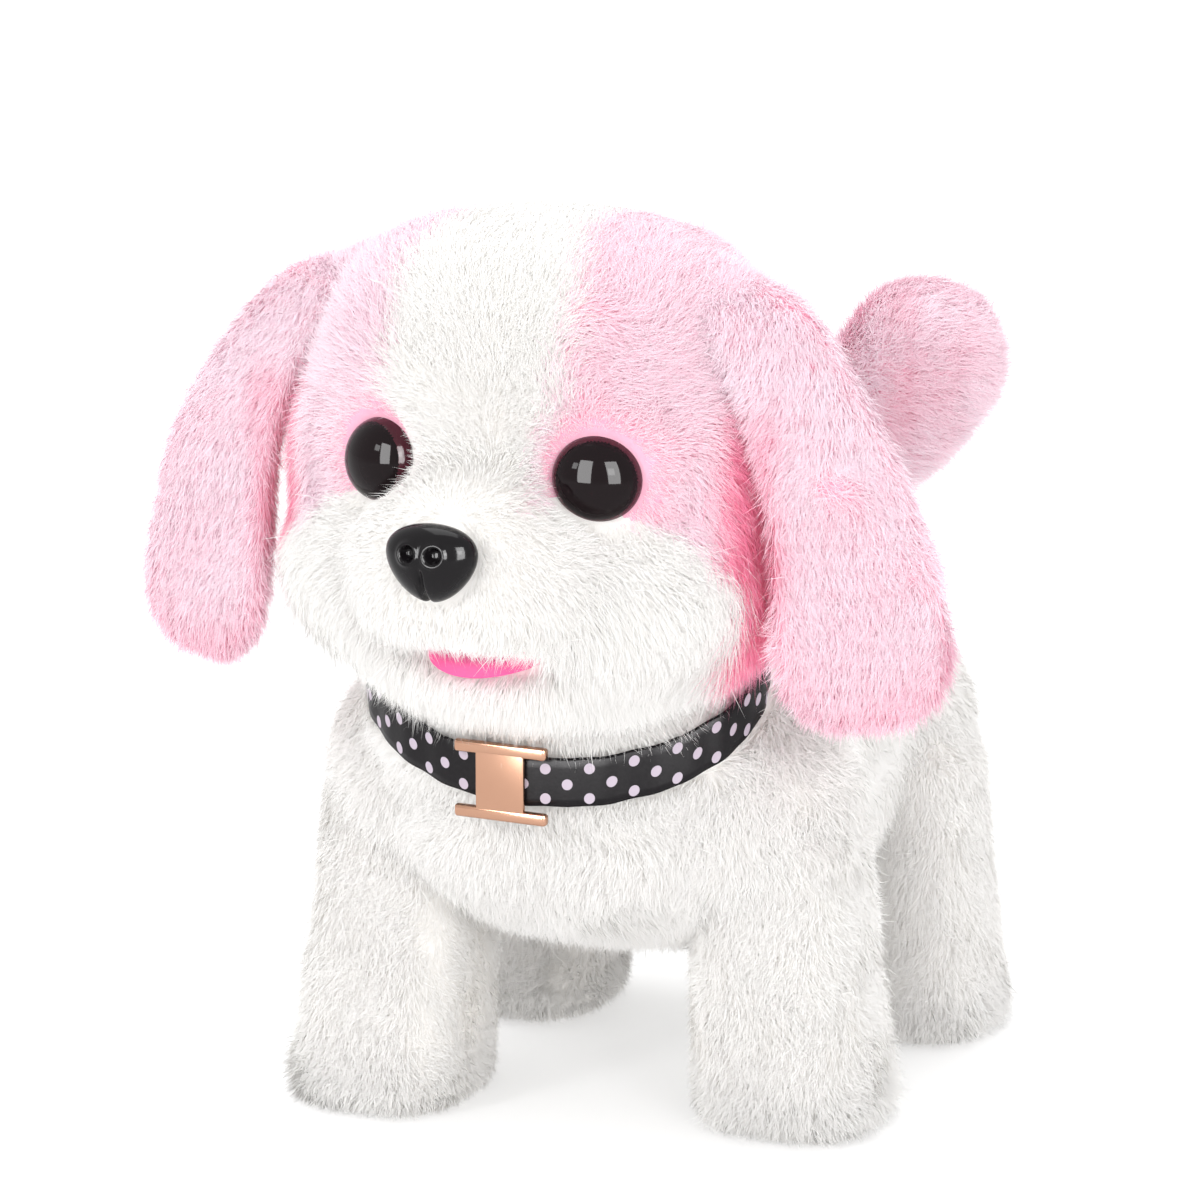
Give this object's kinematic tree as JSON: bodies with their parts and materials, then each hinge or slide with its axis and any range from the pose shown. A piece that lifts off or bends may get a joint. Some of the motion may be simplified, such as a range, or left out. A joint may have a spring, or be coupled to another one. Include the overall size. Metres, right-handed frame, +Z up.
{
  "type": "walking plush puppy toy",
  "caption": "Battery-driven plush puppy toy with swinging legs, wagging tail, nodding head, flap ears and a dotted ribbon collar.",
  "frame": {"origin": "middle of the bounding box on the floor under the feet", "axes": "+Z up, -Y the way the puppy looks, +X its own left side"},
  "size_m": [0.1698, 0.1978, 0.1883],
  "materials": {
    "white_plush": "long soft white pile",
    "pink_plush": "long soft pink pile",
    "shell_plastic": "moulded light grey plastic",
    "frame_plastic": "moulded grey plastic",
    "gear_plastic": "natural acetal",
    "steel": "bright drawn steel",
    "tin_plate": "tin-plated steel",
    "battery_label": "plain printed sleeve, no marks",
    "circuit_board": "green solder mask",
    "dark_plastic": "black moulded plastic",
    "eye_gloss": "polished black with a dark red-brown rim",
    "nose_gloss": "polished black",
    "tongue_felt": "short-pile magenta felt",
    "ribbon_satin": "black satin with pale lilac dots",
    "rose_gold": "polished rose-gold plate, no lettering",
    "sole_rubber": "off-white grip rubber"
  },
  "bodies": {
    "root": {"body_plush": "white_plush", "shell_left": "shell_plastic", "shell_right": "shell_plastic", "battery_box": "shell_plastic", "battery_1": "battery_label", "battery_2": "battery_label", "contact_front": "tin_plate", "contact_rear": "tin_plate", "circuit_board": "circuit_board", "speaker": "dark_plastic", "motor": "tin_plate", "gearbox_plate": "frame_plastic", "gear_pin_first": "steel", "gear_pin_second": "steel", "axle_front": "steel", "axle_rear": "steel", "neck_bracket": "frame_plastic", "neck_pin": "steel", "tail_pin": "steel", "collar_ribbon": "ribbon_satin", "collar_buckle": "rose_gold"},
    "head": {"head_plush": "white_plush", "head_frame": "frame_plastic", "eye_left": "eye_gloss", "eye_right": "eye_gloss", "eye_washer_left": "dark_plastic", "eye_washer_right": "dark_plastic", "nose": "nose_gloss", "tongue": "tongue_felt"},
    "ear_left": {"ear_left": "pink_plush"},
    "ear_right": {"ear_right": "pink_plush"},
    "leg_front_left": {"leg_frame_front_left": "frame_plastic", "leg_sleeve_front_left": "white_plush", "foot_pad_front_left": "sole_rubber"},
    "leg_rear_left": {"leg_frame_rear_left": "frame_plastic", "leg_sleeve_rear_left": "white_plush", "foot_pad_rear_left": "sole_rubber"},
    "leg_front_right": {"leg_frame_front_right": "frame_plastic", "leg_sleeve_front_right": "white_plush", "foot_pad_front_right": "sole_rubber"},
    "leg_rear_right": {"leg_frame_rear_right": "frame_plastic", "leg_sleeve_rear_right": "white_plush", "foot_pad_rear_right": "sole_rubber"},
    "drive_bar_left": {"drive_bar_left": "frame_plastic"},
    "drive_bar_right": {"drive_bar_right": "frame_plastic"},
    "crank": {"crank_shaft": "steel", "crank_gear": "gear_plastic", "crank_disc_left": "frame_plastic", "crank_disc_right": "frame_plastic", "tail_pinion": "gear_plastic"},
    "gear_first": {"gear_first": "gear_plastic"},
    "gear_second": {"gear_second": "gear_plastic"},
    "motor_pinion": {"motor_pinion": "steel"},
    "tail_crank": {"tail_shaft": "steel", "crown_wheel": "gear_plastic"},
    "tail": {"tail_frame": "frame_plastic", "tail_plush": "pink_plush"},
    "battery_door": {"battery_door": "shell_plastic", "door_screw": "steel"},
    "power_switch": {"power_switch": "dark_plastic"}
  },
  "joints": [
    {"name": "leg_front_left", "type": "hinge", "parent": "root", "child": "leg_front_left", "pos_m": [0, -0.0223, 0.062], "axis": [1, 0, 0], "range_deg": [-26, 6]},
    {"name": "leg_rear_left", "type": "hinge", "parent": "root", "child": "leg_rear_left", "pos_m": [0, 0.0457, 0.062], "axis": [1, 0, 0], "range_deg": [-26, 6]},
    {"name": "leg_front_right", "type": "hinge", "parent": "root", "child": "leg_front_right", "pos_m": [0, -0.0223, 0.062], "axis": [1, 0, 0], "range_deg": [-6, 26]},
    {"name": "leg_rear_right", "type": "hinge", "parent": "root", "child": "leg_rear_right", "pos_m": [0, 0.0457, 0.062], "axis": [1, 0, 0], "range_deg": [-6, 26]},
    {"name": "drive_bar_left", "type": "hinge", "parent": "leg_front_left", "child": "drive_bar_left", "pos_m": [0, -0.02473, 0.07579], "axis": [1, 0, 0], "range_deg": [-6, 26]},
    {"name": "drive_bar_right", "type": "hinge", "parent": "leg_front_right", "child": "drive_bar_right", "pos_m": [0, -0.01987, 0.07579], "axis": [1, 0, 0], "range_deg": [-26, 6]},
    {"name": "crank", "type": "hinge", "parent": "root", "child": "crank", "pos_m": [0, 0.0117, 0.076], "axis": [1, 0, 0], "continuous": true},
    {"name": "gear_second", "type": "hinge", "parent": "root", "child": "gear_second", "pos_m": [0, -0.0015, 0.07197], "axis": [1, 0, 0], "continuous": true},
    {"name": "gear_first", "type": "hinge", "parent": "root", "child": "gear_first", "pos_m": [0, -0.01309, 0.07507], "axis": [1, 0, 0], "continuous": true},
    {"name": "motor_pinion", "type": "hinge", "parent": "root", "child": "motor_pinion", "pos_m": [0, -0.02115, 0.08313], "axis": [1, 0, 0], "continuous": true},
    {"name": "tail_crank", "type": "hinge", "parent": "root", "child": "tail_crank", "pos_m": [0, 0.0417, 0.076], "axis": [0, 1, 0], "continuous": true},
    {"name": "tail_wag", "type": "hinge", "parent": "root", "child": "tail", "pos_m": [0, 0.0637, 0.088], "axis": [0, 1, 0], "range_deg": [-25, 28]},
    {"name": "head_nod", "type": "hinge", "parent": "root", "child": "head", "pos_m": [0, -0.0283, 0.104], "axis": [1, 0, 0], "range_deg": [-8, 5]},
    {"name": "ear_left_flap", "type": "hinge", "parent": "head", "child": "ear_left", "pos_m": [0.034, -0.0403, 0.178], "axis": [0, -1, 0], "range_deg": [0, 60]},
    {"name": "ear_right_flap", "type": "hinge", "parent": "head", "child": "ear_right", "pos_m": [-0.034, -0.0403, 0.178], "axis": [0, 1, 0], "range_deg": [0, 60]},
    {"name": "battery_door_slide", "type": "slide", "parent": "root", "child": "battery_door", "axis": [0, 0, -1], "range_m": [0, 0.02]},
    {"name": "power_switch_slide", "type": "slide", "parent": "root", "child": "power_switch", "axis": [0, 1, 0], "range_m": [0, 0.0035]}
  ],
  "couplings": [
    {"joint": "leg_rear_left", "follows": "leg_front_left", "ratio": 1},
    {"joint": "leg_front_right", "follows": "leg_front_left", "ratio": -1},
    {"joint": "leg_rear_right", "follows": "leg_front_left", "ratio": -1},
    {"joint": "drive_bar_left", "follows": "leg_front_left", "ratio": -1},
    {"joint": "drive_bar_right", "follows": "leg_front_left", "ratio": 1},
    {"joint": "gear_second", "follows": "crank", "ratio": -3.6},
    {"joint": "gear_first", "follows": "crank", "ratio": 10.8},
    {"joint": "motor_pinion", "follows": "crank", "ratio": -40.5},
    {"joint": "tail_crank", "follows": "crank", "ratio": -0.8}
  ]
}
